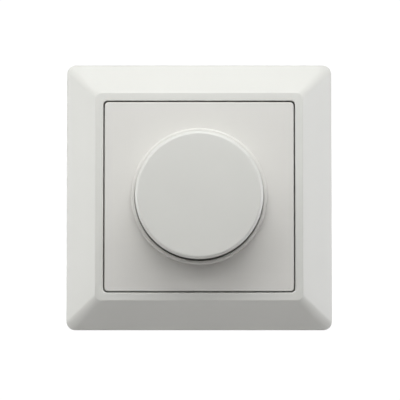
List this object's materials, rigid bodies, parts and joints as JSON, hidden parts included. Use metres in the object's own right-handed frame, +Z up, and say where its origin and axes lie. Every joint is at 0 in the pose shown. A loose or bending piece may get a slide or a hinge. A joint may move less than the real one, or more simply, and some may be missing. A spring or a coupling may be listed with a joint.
{
  "type": "rotary dimmer switch",
  "caption": "Square flush-mounted wall dimmer with a bevelled cover frame and a round knob that turns to dim the light and presses in to switch it.",
  "frame": {"origin": "centre of the square cover frame, in the plane of the wall that its rim lies on", "axes": "-Y out of the wall towards the person, along the axis of the knob; +Z up; +X to the right as seen from the front"},
  "size_m": [0.08, 0.0456, 0.08],
  "materials": {
    "white_plastic": "satin white moulded plastic with a very fine grain",
    "grey_plastic": "matt dark grey moulded plastic",
    "black_plastic": "matt black moulded plastic",
    "beige_plastic": "matt natural moulded plastic",
    "blue_coating": "glossy blue coating",
    "yellow_film": "glossy yellow case",
    "green_laminate": "satin green solder mask",
    "ferrite": "matt grey ferrite",
    "clear_glass": "clear",
    "zinc_steel": "zinc-plated, satin",
    "brass": "bare brass",
    "copper": "copper, bare or enamelled",
    "aluminium": "mill finish"
  },
  "bodies": {
    "base": {"cover_frame": "white_plastic", "centre_plate": "white_plastic", "threaded_bush": "brass", "plate_nut": "brass", "bush_nut": "zinc_steel", "nut_washer": "zinc_steel", "support_plate": "zinc_steel", "housing_cover": "grey_plastic", "housing": "grey_plastic", "housing_screw_1": "zinc_steel", "housing_screw_2": "zinc_steel", "housing_screw_3": "zinc_steel", "housing_screw_4": "zinc_steel", "circuit_board": "green_laminate", "control_chip": "black_plastic", "pot_case": "zinc_steel", "pot_track": "black_plastic", "switch_case": "black_plastic", "return_spring": "zinc_steel", "fixed_contact_1": "brass", "fixed_contact_2": "brass", "trimmer_body": "blue_coating", "transistor_left": "black_plastic", "transistor_right": "black_plastic", "heat_spreader_left": "aluminium", "heat_spreader_right": "aluminium", "choke_core": "ferrite", "choke_winding": "copper", "film_capacitor": "yellow_film", "electrolytic_capacitor": "blue_coating", "varistor": "blue_coating", "fuse_tube": "clear_glass", "fuse_cap_1": "brass", "fuse_cap_2": "brass", "terminal_block": "grey_plastic", "terminal_clamp_1": "brass", "terminal_screw_1": "zinc_steel", "terminal_clamp_2": "brass", "terminal_screw_2": "zinc_steel", "terminal_clamp_3": "brass", "terminal_screw_3": "zinc_steel", "terminal_clamp_4": "brass", "terminal_screw_4": "zinc_steel"},
    "plunger": {"switch_slider": "beige_plastic", "moving_contact": "copper"},
    "knob_unit": {"knob": "white_plastic", "knob_clip": "zinc_steel", "control_shaft": "zinc_steel", "shaft_circlip": "zinc_steel"},
    "rotor": {"pot_rotor": "beige_plastic", "pot_wiper": "copper"},
    "trimmer": {"trimmer_rotor": "white_plastic"}
  },
  "joints": [
    {"name": "knob_push", "type": "slide", "parent": "base", "child": "plunger", "axis": [0, 1, 0], "range_m": [0, 0.0018], "stiffness_N_per_m": 500, "springref_m": -0.004, "deforming": ["return_spring"]},
    {"name": "knob_turn", "type": "hinge", "parent": "plunger", "child": "knob_unit", "pos_m": [0, 0, 0], "axis": [0, 1, 0], "range_deg": [-140, 140]},
    {"name": "rotor_turn", "type": "hinge", "parent": "base", "child": "rotor", "pos_m": [0, 0, 0], "axis": [0, 1, 0], "range_deg": [-140, 140]},
    {"name": "trimmer_turn", "type": "hinge", "parent": "base", "child": "trimmer", "pos_m": [0.014, 0, 0], "axis": [0, 1, 0], "range_deg": [-135, 135]}
  ],
  "couplings": [
    {"joint": "rotor_turn", "follows": "knob_turn", "ratio": 1}
  ]
}
